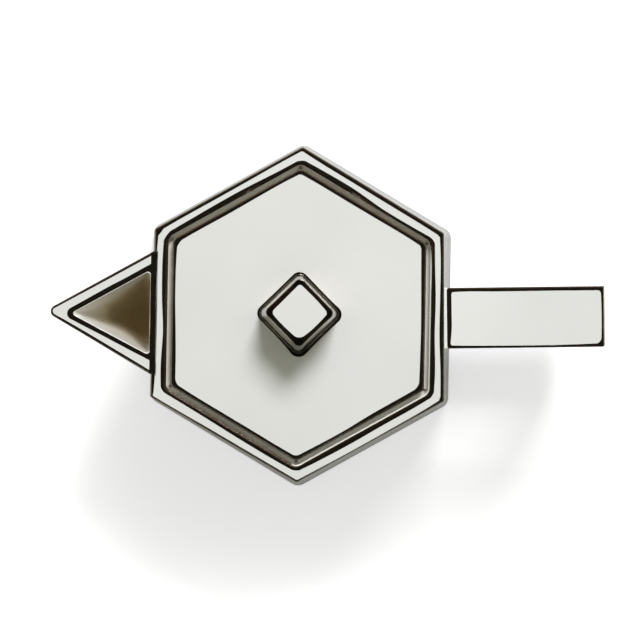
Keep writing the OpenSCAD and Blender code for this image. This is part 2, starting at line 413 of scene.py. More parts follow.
def stations(sides, on_corner=6, on_side=24):
    """Places along an outline, close together round its corners."""
    ways = []
    for i in range(sides):
        ways += [i + CORNER_SHARE * k / on_corner for k in range(on_corner)]
        ways += [i + CORNER_SHARE + (1 - 2 * CORNER_SHARE) * k / on_side for k in range(on_side)]
        ways += [i + 1 - CORNER_SHARE + CORNER_SHARE * k / on_corner for k in range(on_corner)]
    return ways + [sides]


def loft(name, ways, rails, closed=True):
    """A skin through the rails, each a function of the way; closed joins the last rail to the first."""
    rows = len(rails) + (1 if closed else 0)
    bpy.ops.object.select_all(action="DESELECT")
    bpy.ops.mesh.primitive_grid_add(x_subdivisions=len(ways) - 1, y_subdivisions=rows - 1, size=2)
    skin = bpy.context.object
    skin.name = skin.data.name = name
    for v in skin.data.vertices:
        column = round((v.co.x + 1) / 2 * (len(ways) - 1))
        row = round((v.co.y + 1) / 2 * (rows - 1))
        v.co = rails[row % len(rails)](ways[column])
    bpy.ops.object.mode_set(mode="EDIT")
    bpy.ops.mesh.select_all(action="SELECT")
    bpy.ops.mesh.remove_doubles(threshold=0.001 * MM)
    bpy.ops.mesh.select_mode(type="EDGE")
    bpy.ops.mesh.select_all(action="DESELECT")
    bpy.ops.mesh.select_non_manifold()
    bpy.ops.mesh.fill_holes(sides=0)
    return skin


def inset(corners, by):
    """The corners of a convex outline after all its sides have moved inwards."""
    moved = []
    for i, here in enumerate(corners):
        back = (corners[i - 1] - here).normalized()
        bisector = (back + (corners[(i + 1) % len(corners)] - here).normalized()).normalized()
        moved.append(here + bisector * by / math.sin(back.angle(bisector)))
    return moved


def level_rail(corners, radii, z):
    """A level rail round an outline with rounded corners."""
    return lambda way: outline_point(corners, radii, way).to_3d() + Vector((0, 0, z))


def channel_ring(grown, down):
    """One level ring of the funnel, grown outwards by a little and down by a share of its depth."""
    ease = min(1, max(0, (down - channel_close) / (1 - channel_close)))
    closing = math.sqrt(max(0.02, 1 - ease * ease))
    tops = inset(channel_corners, channel_edge - grown)
    corners = [top.lerp(foot_spot, down) for top, foot_spot in zip(tops, channel_foot)]
    middle = (corners[1] + corners[2]) / 2
    corners = [middle + (c - middle) * closing for c in corners]
    room = 0.2 * (corners[2] - corners[1]).length
    tip = min(channel_tip + (channel_keel - channel_tip) * down ** 0.7 + grown, room * 0.7)
    corner = min(channel_corner + grown, room)
    return level_rail(corners, [tip, corner, corner], rim_z - down * (rim_z - channel_floor_z))


def channel_rail(k):
    """The funnel's rails from 2 mm over the rim, round its lip and down to its foot."""
    if k == 0:
        outline = channel_ring(channel_edge, 0)
        return lambda way: outline(way) + Vector((0, 0, 2 * MM))
    if k <= 5:
        turn = math.radians(90) * (k - 1) / 4
        outline = channel_ring(channel_edge * (1 - math.sin(turn)), 0)
        drop = channel_edge * (1 - math.cos(turn))
        return lambda way: outline(way) - Vector((0, 0, drop))
    share = (k - 5) / (channel_rings - 5)
    return channel_ring(0, channel_lip + (1 - channel_lip) * share)


# Glaze inside the channel, painted browner and darker the deeper it lies, as painted shade in the funnel.
deep_shade_glaze = glaze.copy()
deep_shade_glaze.name = "glazed_porcelain_deep_shade"
tree, shader, place = open_nodes(deep_shade_glaze)
height = add_node(tree, "SeparateXYZ", {"Vector": place})
blotch = add_node(tree, "TexNoise", {"Vector": place}, Scale=1 / (9 * MM), Detail=3)
depth = add_node(tree, "MapRange", {"Value": height.outputs["Z"]},
                 From_Min=rim_z, From_Max=channel_floor_z)
blur = add_node(tree, "Math", {"Value": blotch.outputs["Fac"]}, operation="MULTIPLY_ADD")
tree.links.new(depth.outputs["Result"], blur.inputs[2])
blur.inputs[1].default_value = 0.08
# Painted shade: browner and darker towards the foot of the funnel.
deep_shade_ramp = add_node(tree, "ValToRGB", {"Fac": blur.outputs[0]},
                 [(0.06, "ECEAE3"), (0.3, "EDE9DD"), (0.5, "E8E0CB"), (0.75, "DFD2B4"), (1, "D0BD95")])
tree.links.new(deep_shade_ramp.outputs["Color"], shader.inputs["Base Color"])

funnel = loft("channel_funnel", stations(3), [channel_rail(k) for k in range(channel_rings + 1)],
              closed=False)
bpy.ops.mesh.select_all(action="SELECT")
bpy.ops.mesh.normals_make_consistent(inside=False)
bpy.ops.object.mode_set(mode="OBJECT")
funnel.data.materials.append(deep_shade_glaze)

bpy.ops.object.select_all(action="DESELECT")
bpy.ops.mesh.primitive_circle_add(vertices=3, radius=MM, fill_type="NGON")
spout = start_piece("spout_beak")
spout_back = -(rim_half - spout_into_wall)
spout_heel = -(wall_at(spout_low.z) - spout_into_wall)
back_half = (spout_back - spout_apex) * math.tan(spout_side)
beak_centre = spout_back - back_half * math.tan((math.pi / 2 - spout_side) / 2)
shape = bmesh.from_edit_mesh(spout.data)
for corner, spot in zip(shape.verts, [(spout_apex, spout_sway), (spout_back, spout_sway - back_half),
                                      (spout_back, spout_sway + back_half)]):
    corner.co = (*spot, rim_z)
bmesh.update_edit_mesh(spout.data)
bevel("verts", lambda v: v.co.x < spout_apex + MM, spout_tip / math.tan(spout_side), 8)
shape = bmesh.from_edit_mesh(spout.data)
tip_centre = Vector((spout_apex + spout_tip / math.sin(spout_side), spout_sway, rim_z))
for v in shape.verts:
    if v.co.x < spout_back - MM:
        v.co = tip_centre + (v.co - tip_centre).normalized() * spout_tip
bmesh.update_edit_mesh(spout.data)
pick("faces", lambda f: True)
inside = spout_back - beak_centre
z = rim_z
for drop in (spout_drop, spout_lip):
    extrude(0, 0, rim_z - drop - z)
    z = rim_z - drop
extrude(0, 0, spout_low.z - z)
bpy.ops.transform.resize(value=(0.001, spout_heel_half / back_half, 1),
                         center_override=(spout_heel, spout_sway, spout_low.z))
pick("verts", lambda v: v.co.z > rim_z - 0.001 * MM)
size = 1 - spout_trim / inside
bpy.ops.transform.resize(value=(size, size, 1), center_override=(beak_centre, spout_sway, 0))
bpy.ops.mesh.select_all(action="SELECT")
bpy.ops.mesh.convex_hull()
bpy.ops.mesh.dissolve_limited(angle_limit=math.radians(0.5))
bpy.ops.object.mode_set(mode="OBJECT")
spout.data.materials.append(glaze)
spout.data.materials.append(deep_shade_glaze)
cut_away(spout, funnel)
bpy.ops.object.mode_set(mode="OBJECT")
cut_away(spout, piercer)
close_piece(25)
bpy.data.objects.remove(funnel)
bpy.data.objects.remove(piercer)

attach(spout, "pot")
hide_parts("spout")


# ------------------------------------------------------------------------
# Handle: a rectangular strap loop of three bars, cast and luted to the wall a little
# out of true, with a small flare of slip at its upper root.
handle_low, handle_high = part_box("handle")
handle_reach = 129.95 * MM
handle_width = 25.7 * MM
handle_sway = 0.18 * MM             # it was luted on a little above the middle of the wall
handle_bar = 12 * MM
handle_bend = 4 * MM
handle_edge = 0.7 * MM
handle_heel = 2.2 * MM              # the rounding under its outer end
handle_near_corner = 1.1 * MM       # the rounding of its upright outer edge on the near side
handle_trim = 0.5 * MM
handle_drop = handle_trim * math.tan(TRIM)
handle_root = 2 * MM                # how far its top bar reaches into the wall
handle_low_root = 3 * MM            # how far its lower bar reaches into the wall
handle_turn = math.radians(1.7)
handle_turn_x = 78 * MM
handle_flare = 1.05
handle_flare_length = 5 * MM
handle_top = handle_high.z
handle_foot = handle_low.z
top_root = wall_at(handle_top) - handle_root
low_root = wall_at(handle_foot) - handle_low_root
inner_x = handle_reach - handle_bar

bpy.ops.object.select_all(action="DESELECT")
bpy.ops.mesh.primitive_cube_add(
    size=1, scale=(inner_x - top_root, handle_width, handle_bar - handle_drop),
    location=((inner_x + top_root) / 2, handle_sway, handle_top - (handle_bar + handle_drop) / 2))
handle = start_piece("handle_strap")
pick("faces", lambda f: f.normal.x > 0.9)
extrude(handle_bar, 0, 0)
pick("faces", lambda f: f.normal.z < -0.9 and f.calc_center_median().x > inner_x)
extrude(0, 0, 2 * handle_bar + handle_foot - handle_top)
extrude(0, 0, -handle_bar)
pick("faces", lambda f: f.normal.x < -0.9 and f.calc_center_median().z < handle_foot + handle_bar)
extrude(low_root - inner_x, 0, 0)


def crosswise(x, z):
    """A test for the edges that run across the strap at x and z."""
    return lambda e: all(abs(v.co.x - x) < 0.1 * MM and abs(v.co.z - z) < 0.1 * MM for v in e.verts)


bevel("edges", lambda e: crosswise(inner_x, handle_top - handle_bar)(e)
      or crosswise(inner_x, handle_foot + handle_bar)(e), handle_bend, 8)
bevel("edges", crosswise(handle_reach, handle_foot), handle_heel, 6)
bevel("edges", lambda e: min(v.co.x for v in e.verts) > handle_reach - 0.1 * MM
      and max(v.co.y for v in e.verts) < 0 and abs(e.verts[0].co.z - e.verts[1].co.z) > MM,
      handle_near_corner, 5)
pick("faces", lambda f: f.normal.z > 0.9 and f.calc_center_median().z > handle_top - MM)
bpy.ops.mesh.inset(thickness=handle_trim, depth=handle_drop, use_even_offset=True)
for share in (1, 0.4):
    bpy.ops.mesh.select_all(action="SELECT")
    flare_x = top_root + handle_root + share * handle_flare_length
    bpy.ops.mesh.bisect(plane_co=(flare_x, 0, 0), plane_no=(1, 0, 0))
pick("verts", lambda v: v.co.x < top_root + MM)
bpy.ops.transform.resize(value=(1, handle_flare, 1), center_override=(0, handle_sway, 0))
pick("edges", lambda e: e.is_manifold and e.calc_face_angle(0) > math.radians(65)
     and max(v.co.x for v in e.verts) > top_root + MM)
bpy.ops.mesh.bevel(offset=handle_edge, segments=4, affect="EDGES")
bpy.ops.mesh.select_all(action="SELECT")
bpy.ops.transform.rotate(value=-handle_turn, orient_axis="Z", center_override=(handle_turn_x, 0, 0))
close_piece(25)
handle.data.materials.append(glaze)

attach(handle, "pot")
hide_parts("handle")


# ------------------------------------------------------------------------
# Rim outer line: platinum lustre brushed round the outer edge of the rim by hand. It
# laps a little way down the wall, and its width follows the brush.
FILM = 0.05 * MM                    # how far a painted film stands proud of the glaze
BURIED = 0.2 * MM                   # how far its hidden underside lies in the glaze
SUNK = 0.01 * MM                    # how far its painted end dips into the glaze


def brushed(widths, way):
    """The brush's width at a way round an outline, smoothly between widths spaced evenly along it."""
    place = way * len(widths[0])
    flat = [w for side in widths for w in side]
    i = math.floor(place)
    before, here, after, beyond = (flat[(i + k) % len(flat)] for k in (-1, 0, 1, 2))
    f = place - i
    bend = ((2 * before - 5 * here + 4 * after - beyond) + (3 * here - before - 3 * after + beyond) * f) * f
    return (here + (after - before + bend) * f / 2) * MM


def waver(way, seed, by):
    """A slow unsteady change along an outline, as a hand makes."""
    return by * noise.noise(Vector((4 * math.cos(way), 4 * math.sin(way), seed)))


def ring(half, radii, z):
    """A level hexagonal rail of a painted line."""
    return level_rail(hexagon(half), radii, z)


def brush_edge(edge, widths, radii, z, back=0):
    """The wavering rail where a line painted on a level face ends, at the brush's width from an edge."""
    typical = sum(sum(side) for side in widths) / sum(len(side) for side in widths) * MM
    outer = level_rail(edge, [MM] * 6, z)
    inner = level_rail(inset(edge, typical), [r * MM for r in radii], z)
    def rail(way):
        across = (inner(way) - outer(way)).normalized()
        return inner(way) + across * (brushed(widths, way) - typical - back)
    return rail


def film_end(rail, top, proud=FILM, side=1):
    """A film's painted end over a level face: its upper edge, its foot in the glaze and its underside."""
    return [rail(top + proud, side * 0.02 * MM), rail(top - SUNK), rail(top - BURIED, side * 0.1 * MM)]


def trimmed_rails(place, half, corner, run, top, proud):
    """The two rails of a film over a trimmed outer edge, its lower and its upper one."""
    upper = proud * math.tan(TRIM / 2) - run
    return [place(half + proud, [corner + proud] * 6,
                  top - run * math.tan(TRIM) + proud * math.tan((math.pi / 2 - TRIM) / 2)),
            place(half + upper, [corner + upper] * 6, top + proud)]


def paint(name, ways, rails, node, body_name, also=None):
    film = loft(name, ways, rails)
    close_piece(25)
    if also:
        also.select_set(True)
        bpy.ops.object.join()
    film.data.materials.append(platinum)
    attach(film, body_name)
    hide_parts(node)
    return film


# Platinum lustre: a thin fired film of metal over the glaze. It mirrors its surroundings, with a fine
# unevenness in its gloss and slow blotches in its warm tone where it was laid thicker or thinner.
platinum = bpy.data.materials.new("platinum_lustre")
tree, shader, place = open_nodes(platinum)
shader.inputs["Metallic"].default_value = 1
blotch = add_node(tree, "TexNoise", {"Vector": place}, Scale=1 / (5 * MM), Detail=3)
streak = add_node(tree, "TexNoise", {"Vector": place}, Scale=1 / (0.7 * MM), Detail=2)
tone = add_node(tree, "ValToRGB", {"Fac": blotch.outputs["Fac"]}, [(0.35, "BFB4A6"), (0.7, "D2C9BE")])
gloss = add_node(tree, "ValToRGB", {"Fac": streak.outputs["Fac"]}, [(0.3, 0.08), (0.7, 0.16)])
ripple = add_node(tree, "Bump", {"Height": streak.outputs["Fac"]}, Strength=0.4, Distance=0.02 * MM)
tree.links.new(tone.outputs["Color"], shader.inputs["Base Color"])
tree.links.new(gloss.outputs["Color"], shader.inputs["Roughness"])
tree.links.new(ripple.outputs["Normal"], shader.inputs["Normal"])

# Brush widths in millimetres along each side, from its corner on: the right side first, then
# anticlockwise.
outer_widths = [
    [1.75, 1.55, 1.95, 1.6, 1.35], [2.1, 1.8, 1.8, 1.8, 1.85], [1.5, 1.3, 1.45, 1.6, 1.7],
    [2.3, 0.9, 0.6, 1.2, 1.8], [0.9, 0.8, 1.0, 1.0, 0.95], [0.8, 0.55, 0.5, 0.6, 0.8]]
outer_radii = [1.6, 1.2, 1.4, 3.2, 1.5, 1.4]
rim_lap = 1.1 * MM


def rim_corners(half):
    """The corners of the hand-trimmed rim."""
    return [corner + shift for corner, shift in zip(hexagon(half), rim_shifts)]


def rim_ring(half, radii, z):
    """A level rail round the trimmed rim or the wall just under it."""
    return level_rail(rim_corners(half), radii, z)


def lap_rail(proud):
    """The unsteady lower edge of the line, on the wall."""
    def rail(way):
        lap = rim_lap + waver(way, 1, 0.5 * MM)
        return rim_ring(wall_at(rim_z - lap) + proud, [rim_corner] * 6, rim_z - lap)(way)
    return rail


def outer_brush(z, back=0):
    """The outer line's inner edge on the rim."""
    return brush_edge(rim_corners(rim_half), outer_widths, outer_radii, z, back)


paint("rim_outer_line_film", stations(6, on_side=40),
      [lap_rail(-BURIED), lap_rail(FILM)]
      + trimmed_rails(rim_ring, rim_half, rim_corner, rim_trim, rim_z, FILM)
      + film_end(outer_brush, rim_z)
      + trimmed_rails(rim_ring, rim_half, rim_corner, rim_trim, rim_z, -BURIED)[:1],
      "rim_outer_line", "pot")


# ------------------------------------------------------------------------
# Rim inner line: the same lustre round the mouth. It runs over the trimmed inner edge
# of the rim and, on four sides, down into the groove round the lid.
mouth_lean = (cavity_half - mouth_half) / (rim_z - cavity_z)
# Millimetres from the outer edge of the untrimmed rim to this line.
inner_starts = [
    [3.1, 2.45, 3.0, 2.85, 3.45], [4.0, 4.35, 4.15, 3.1, 3.25], [4.0, 3.8, 3.15, 3.1, 3.5],
    [4.0, 2.95, 3.0, 3.7, 2.95], [3.4, 3.4, 3.2, 2.95, 2.95], [3.4, 2.6, 2.4, 2.65, 2.6]]
inner_radii = [3.2, 3.4, 3.4, 4.5, 3.6, 3.4]
# How far it runs over the trimmed edge and down the mouth's wall.
inner_reach = [[0.45] * 5] + [[1.6] * 5] * 4 + [[0.45] * 5]


def mouth_rail(proud, on_wall):
    """Where the line leaves the trimmed edge or, on the wall, where it ends."""
    slope = mouth_trim / math.cos(TRIM)
    def rail(way):
        reach = brushed(inner_reach, way)
        down = max(0, reach - slope) if on_wall else 0
        grown = mouth_trim - min(reach, slope) * math.cos(TRIM) + mouth_lean * down - proud
        z = rim_z - min(reach, slope) * math.sin(TRIM) - down
        if down == 0:
            z += proud * math.tan((math.pi / 2 - TRIM) / 2)
        return ring(mouth_half + grown, [mouth_corner + grown] * 6, z)(way)
    return rail


def inner_brush(z, back=0):
    """The inner line's outer edge on the rim."""
    return brush_edge(hexagon(rim_half), inner_starts, inner_radii, z, back)


upper, lower, under = film_end(inner_brush, rim_z, side=-1)
paint("rim_inner_line_film", stations(6, on_side=40),
      [lower, upper, ring(mouth_half + mouth_trim, [mouth_corner + mouth_trim] * 6, rim_z + FILM),
       mouth_rail(FILM, False), mouth_rail(FILM, True), mouth_rail(-BURIED, True), mouth_rail(-BURIED, False),
       under],
      "rim_inner_line", "pot")


# ------------------------------------------------------------------------
# Spout lines: lustre along the beak's two outer edges, and a second line right round
# the channel, which stops short of its rounded lip.
line_back = -(rim_half - 0.2 * MM)  # the line runs on to the rim's own line
line_root = 0.3 * MM                # the rounding of its two corners there
beak_widths = [[1.1, 1.15, 1.15, 1.1, 1.0], [1.0, 1.25, 1.35, 1.3, 1.25], [1.1] * 5]
beak_brush_tip = 1.5 * MM           # the rounding of the brush's edge inside the tip
spout_lap = 1.2 * MM


def beak_rail(by, tip, z):
    """A level rail moved in from the beak's sides: upper root, tip, lower root and back along the wall."""
    apex = spout_apex + by / math.sin(spout_side)
    half = (line_back - apex) * math.tan(spout_side)
    corners = [Vector(spot) for spot in (
        (line_back, spout_sway + half), (apex, spout_sway), (line_back, spout_sway - half))]
    return level_rail(corners, [line_root, tip, line_root], z)


def beak_brush(z, back=0):
    """The inner edge of the beak's outer line."""
    return lambda way: beak_rail(brushed(beak_widths, way) - back, beak_brush_tip, z)(way)


paint("spout_outer_line_film", [w for w in stations(3, on_side=40) if w < 2],
      [beak_rail(BURIED, spout_tip, rim_z - spout_lap), beak_rail(-FILM, spout_tip, rim_z - spout_lap),
       beak_rail(-FILM, spout_tip, rim_z - spout_drop + 0.5 * FILM),
       beak_rail(spout_trim - 0.3 * FILM, spout_tip - spout_trim, rim_z + FILM)]
      + film_end(beak_brush, rim_z) + [beak_rail(BURIED, spout_tip, rim_z - spout_drop - BURIED)],
      "spout_outer_line", "pot")

# The ring's outer edge is a triangle of its own, and its side along the wall is a band that runs
# on from one outer line to the other.
ring_corners = [Vector((-60.8, 20.7)) * MM, Vector((-99.3, -1.2)) * MM, Vector((-60.8, -20.5)) * MM]
ring_radii = [0.6 * MM, 2.6 * MM, 0.6 * MM]
lip_corners = [channel_corners[2], channel_corners[0], channel_corners[1]]
lip_radii = [channel_corner, channel_tip, channel_corner]


def ring_brush(z, back=0):
    """The ring's unsteady outer edge."""
    outline = level_rail(inset(ring_corners, back), ring_radii, z)
    middle = sum(ring_corners, Vector((0, 0))) / 3
    def rail(way):
        out = (outline(way).xy - middle).normalized().to_3d()
        return outline(way) + out * waver(way, 11, 0.25 * MM)
    return rail


def lip_rail(z, out):
    """The ring's inner edge, a little outside the channel's rounded lip."""
    return level_rail(inset(lip_corners, -out), lip_radii, z)


band_ends = (-25.5 * MM, 25 * MM)
band_left = -61.75 * MM
band_right = -59.5 * MM


def band_rail(x, z, seed):
    """One long edge of the band along the wall, bowed a little and unsteady."""
    def rail(way):
        bow = 0.4 * MM * (2 * way - 1) ** 2 if x == band_right else 0
        y = band_ends[0] + (band_ends[1] - band_ends[0]) * way
        return Vector((x + bow + 0.12 * MM * noise.noise(Vector((6 * way, seed, 0))), y, z))
    return rail


band = loft("wall_band", [i / 40 for i in range(41)],
            [band_rail(band_left, rim_z - BURIED, 1), band_rail(band_left, rim_z + 1.2 * FILM, 1),
             band_rail(band_right, rim_z + 1.2 * FILM, 2), band_rail(band_right, rim_z - BURIED, 2)])
close_piece(25)
upper, lower, under = film_end(ring_brush, rim_z)
paint("spout_inner_line_film", stations(3, on_side=40),
      [lower, upper, lip_rail(rim_z + FILM, 0.06 * MM), lip_rail(rim_z - SUNK, 0.04 * MM),
       lip_rail(rim_z - BURIED, 0.12 * MM), under],
      "spout_inner_line", "pot", also=band)


# ------------------------------------------------------------------------
# Handle lines: a frame of lustre round the strap's top face, lapping over its long edges
# and its outer end, and pooled in the lower outer corner.
frame_start = wall_at(handle_top) + 1.25 * MM
frame_lap = 0.9 * MM
turned = Matrix.Rotation(handle_turn, 2)
turn_centre = Vector((handle_turn_x, 0))


def strap_outline(left, right, low, high, radii, z):
    """A rail round the strap's top face, moved in from its four sides and turned with the strap."""
    left, right = frame_start + left, handle_reach - right
    low, high = handle_sway - handle_width / 2 + low, handle_sway + handle_width / 2 - high
    corners = [Vector(spot) for spot in ((left, low), (right, low), (right, high), (left, high))]
    def rail(way):
        spot = outline_point(corners, radii, way) - turn_centre
        return (turned @ spot + turn_centre).to_3d() + Vector((0, 0, z))
    return rail


def strap_trim_rail(by, z):
    """A rail along the strap's trimmed edge, or buried under it."""
    return strap_outline(0.3 * MM, by, by, by, [0.5 * MM, 1.2 * MM - max(by, 0), 0.5 * MM, 0.5 * MM], z)


# Widths along the lower long side, the outer end, the upper long side and the wall side.
strap_widths = [[1.5, 1.15, 1.0, 0.95, 1.0, 1.3], [1.7, 1.5, 1.4, 1.35, 1.4, 1.5],
                [1.7, 1.7, 1.65, 1.7, 1.7, 1.6], [2.2, 2.3, 2.3, 2.3, 2.3, 2.0]]


def strap_brush(z, back=0):
    """The frame's inner edge on the strap's top face."""
    def rail(way):
        wide = brushed(strap_widths, way) - back
        return strap_outline(wide, wide, wide, wide, [1.2 * MM, 1.8 * MM, 1.2 * MM, 0.8 * MM], z)(way)
    return rail


def strap_lap(proud):
    """The frame's unsteady lower edge, on the strap's sides and end."""
    radii = [0.5 * MM, 1.2 * MM, 0.5 * MM, 0.5 * MM]
    def rail(way):
        lap = frame_lap + handle_drop + waver(way, 3, 0.3 * MM)
        return strap_outline(0.1 * MM, -proud, -proud, -proud, radii, handle_top - lap)(way)
    return rail


paint("handle_line_film", stations(4, on_side=40),
      [strap_lap(-BURIED), strap_lap(FILM), strap_trim_rail(-FILM, handle_top - handle_drop + 0.5 * FILM),
       strap_trim_rail(handle_trim - 0.3 * FILM, handle_top + FILM)]
      + film_end(strap_brush, handle_top)
      + [strap_trim_rail(BURIED, handle_top - handle_drop - BURIED)],
      "handle_line_frame", "pot")


# ------------------------------------------------------------------------
# Lid plate: a flat hexagonal slab, cast solid, that drops into the mouth until it is
# level with the rim. Its top edge is trimmed like the rim's.
lid_low, lid_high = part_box("lid_plate")
lid_half = lid_high.x
lid_corner = 2.6 * MM
lid_trim = 0.6 * MM
lid_under_edge = 0.4 * MM

lid = draw_block("lid_plate_glazed", 6,
                 arc(lid_low.z + lid_under_edge, lid_half - lid_under_edge, lid_corner - lid_under_edge,
                     lid_under_edge, -90, 0)
                 + [(lid_high.z - lid_trim * math.tan(TRIM), lid_half, lid_corner),
                    (lid_high.z, lid_half - lid_trim, lid_corner - lid_trim)])
close_piece(25)
lid.data.materials.append(glaze)

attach(lid, "lid")
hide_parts("lid_plate")


# ------------------------------------------------------------------------
# Lid flange: the hexagonal collar under the lid that keeps it from sliding. Out of sight
# when the pot is closed.
flange_low, flange_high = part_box("lid_flange")
flange_half = flange_high.x
flange_wall = 3 * MM
flange_corner = 3 * MM
flange_edge = 0.8 * MM

flange = draw_block("lid_flange_ring", 6,
                    [(flange_high.z, flange_half, flange_corner)]
                    + arc(flange_low.z + flange_edge, flange_half - flange_edge, flange_corner - flange_edge,
                          flange_edge, 0, -90)
                    + arc(flange_low.z + flange_edge, flange_half - flange_wall + flange_edge,
                          flange_corner + flange_edge, flange_edge, -90, -180))
pick("faces", lambda f: len(f.verts) > 4 and f.calc_center_median().z < flange_high.z - MM)
extrude(0, 0, flange_high.z - flange_low.z - flange_edge)
pick("faces", lambda f: is_cap(f, flange_high.z))
bpy.ops.mesh.bridge_edge_loops()
close_piece()
flange.data.materials.append(glaze)

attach(flange, "lid")
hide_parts("lid_flange")


# ------------------------------------------------------------------------
# Lid edge line: lustre brushed round the lid's top edge and a little way down its side.
lid_widths = [
    [2.4, 1.9, 1.7, 1.85, 2.1], [2.3, 1.75, 1.85, 1.9, 1.9], [2.2, 1.7, 1.8, 2.05, 2.0],
    [2.3, 1.5, 1.5, 1.9, 2.25], [2.2, 1.65, 1.65, 1.7, 1.6], [1.9, 1.5, 1.4, 1.95, 2.1]]
lid_radii = [3.2, 1.6, 1.2, 3.8, 3.2, 2.4]
# Where it runs far down a side, its dark film also stands in for the shadow in the groove: painted shade.
lid_laps = [[1] * 5, [2.4] * 5, [2] * 5, [3.6] * 5, [2.8] * 5, [1] * 5]    # how far it runs down each side


def lid_lap_rail(proud):
    """The unsteady lower edge of the line, on the lid's side."""
    def rail(way):
        lap = brushed(lid_laps, way) + waver(way, 5, 0.5 * MM)
        return ring(lid_half + proud, [lid_corner] * 6, lid_high.z - lap)(way)
    return rail


def lid_brush(z, back=0):
    """The line's inner edge on the lid's top."""
    return brush_edge(hexagon(lid_half), lid_widths, lid_radii, z, back)


paint("lid_edge_line_film", stations(6, on_side=40),
      [lid_lap_rail(-BURIED), lid_lap_rail(FILM)]
      + trimmed_rails(ring, lid_half, lid_corner, lid_trim, lid_high.z, FILM)
      + film_end(lid_brush, lid_high.z)
      + trimmed_rails(ring, lid_half, lid_corner, lid_trim, lid_high.z, -BURIED)[:1],
      "lid_edge_line", "lid")


# ------------------------------------------------------------------------
# Knob: a square block that narrows upwards, set cornerwise on the middle of the lid and
# luted to it.
knob_low, knob_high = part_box("knob")
knob_top = knob_high.z - 0.1 * MM
knob_base_half = 12.4 * MM
knob_top_half = 10.35 * MM
knob_corner = 2.8 * MM
knob_top_corner = 2.5 * MM
knob_edge = 0.35 * MM
knob_place = Vector((0.27, 0.4, 0)) * MM    # how far off the middle of the lid it was pressed on
knob_sway = Vector((0.4, 0.4, 0)) * MM      # how far its top leans over

knob = draw_block("knob_block", 4,
                  [(knob_low.z - 0.3 * MM, knob_base_half, knob_corner)]
                  + arc(knob_top - knob_edge, knob_top_half - knob_edge, knob_top_corner - knob_edge,
                        knob_edge, 0, 90))
bpy.ops.mesh.select_all(action="SELECT")
bpy.ops.transform.translate(value=knob_place)
pick("verts", lambda v: v.co.z > knob_low.z + MM)
bpy.ops.transform.translate(value=knob_sway)
close_piece()
knob.data.materials.append(glaze)

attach(knob, "lid")
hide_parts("knob")


# ------------------------------------------------------------------------
# Knob coat: lustre over the knob's four sides, round its top edge and out onto a small
# ridge of slip at its foot. The middle of its top stays white.
coat = 0.06 * MM                    # how thick the coat stands on the block
coat_fillet = 0.1 * MM
# How far the coat runs out on the lid, and how high its ridge stands, from the right corner anticlockwise.
coat_spread = [[1.2, 0.9, 0.9], [0.9, 0.85, 0.85], [0.85, 0.85, 0.9], [1.4, 1.25, 1.2]]
coat_ridge = [[0.1, 0.08, 0.08], [0.08, 0.06, 0.06], [0.08, 0.08, 0.1], [0.12, 0.12, 0.12]]
# The width of the dark border on the knob's top.
face_widths = [[2.1, 1.8, 1.8], [2.0, 2.1, 2.2], [2.2, 2.0, 2.1], [2.3, 1.9, 1.9]]
face_radii = [1.5, 1.2, 1.8, 3.4]

# The same lustre, painted darker at the block's upright corners and most of all at the one towards -Y:
# painted shade and a painted dimmer reflection.
shaded_platinum = platinum.copy()
shaded_platinum.name = "platinum_lustre_painted_shade"
tree, shader, place = open_nodes(shaded_platinum)
bright = shader.inputs["Base Color"].links[0].from_socket
level = add_node(tree, "VectorMath", {0: place}, operation="MULTIPLY")
level.inputs[1].default_value = (1, 1, 0)
centred = add_node(tree, "VectorMath", {0: level.outputs[0]}, operation="SUBTRACT")
centred.inputs[1].default_value = knob_place + knob_sway / 2
aim = add_node(tree, "VectorMath", {0: centred.outputs[0]}, operation="NORMALIZE")
sides = add_node(tree, "VectorMath", {0: aim.outputs[0]}, operation="ABSOLUTE")
square_on = add_node(tree, "VectorMath", {0: sides.outputs[0]}, operation="DOT_PRODUCT")
square_on.inputs[1].default_value = (1, 1, 0)
# Painted shade: the lustre's colour is darkened at the corners and on the side away from the lamp.
corner_shade = add_node(tree, "MapRange", {"Value": square_on.outputs["Value"]},
                       From_Min=1.08, From_Max=1.28, To_Min=0.45, To_Max=1)
apart = add_node(tree, "SeparateXYZ", {"Vector": centred.outputs[0]})
far_side_shade = add_node(tree, "MapRange", {"Value": apart.outputs["Y"]},
                    From_Min=-15 * MM, From_Max=-9 * MM, To_Min=0.5, To_Max=1)
knob_shade = add_node(tree, "Math", {0: corner_shade.outputs[0], 1: far_side_shade.outputs[0]}, operation="MULTIPLY")
shaded_tone = add_node(tree, "VectorMath", {0: bright, 1: knob_shade.outputs[0]}, operation="MULTIPLY")
tree.links.new(shaded_tone.outputs[0], shader.inputs["Base Color"])


def square(half):
    """The corners of a square set cornerwise, anticlockwise from the right one."""
    reach = half / math.cos(math.radians(45))
    return [Vector((reach, 0)), Vector((0, reach)), Vector((-reach, 0)), Vector((0, -reach))]


def knob_ring(half, radii, z):
    """A level rail round the knob's place."""
    outline = level_rail(square(half), radii, z)
    return lambda way: outline(way) + knob_place


def knob_top_rail(turn):
    """The coat over the knob's rounded top edge, from upright to level."""
    grown = (knob_edge + coat) * math.cos(math.radians(turn)) - knob_edge
    z = knob_top - knob_edge + (knob_edge + coat) * math.sin(math.radians(turn))
    outline = knob_ring(knob_top_half + grown, [knob_top_corner + grown] * 4, z)
    return lambda way: outline(way) + knob_sway


def fillet_rail(turn):
    """The hollow fillet between the knob's side and the ridge at its foot, from level to upright."""
    def rail(way):
        out = coat_fillet * (1 - math.sin(math.radians(turn)))
        z = knob_low.z + brushed(coat_ridge, way) + coat_fillet * (1 - math.cos(math.radians(turn)))
        return knob_ring(knob_base_half + coat + out, [knob_corner + out] * 4, z)(way)
    return rail


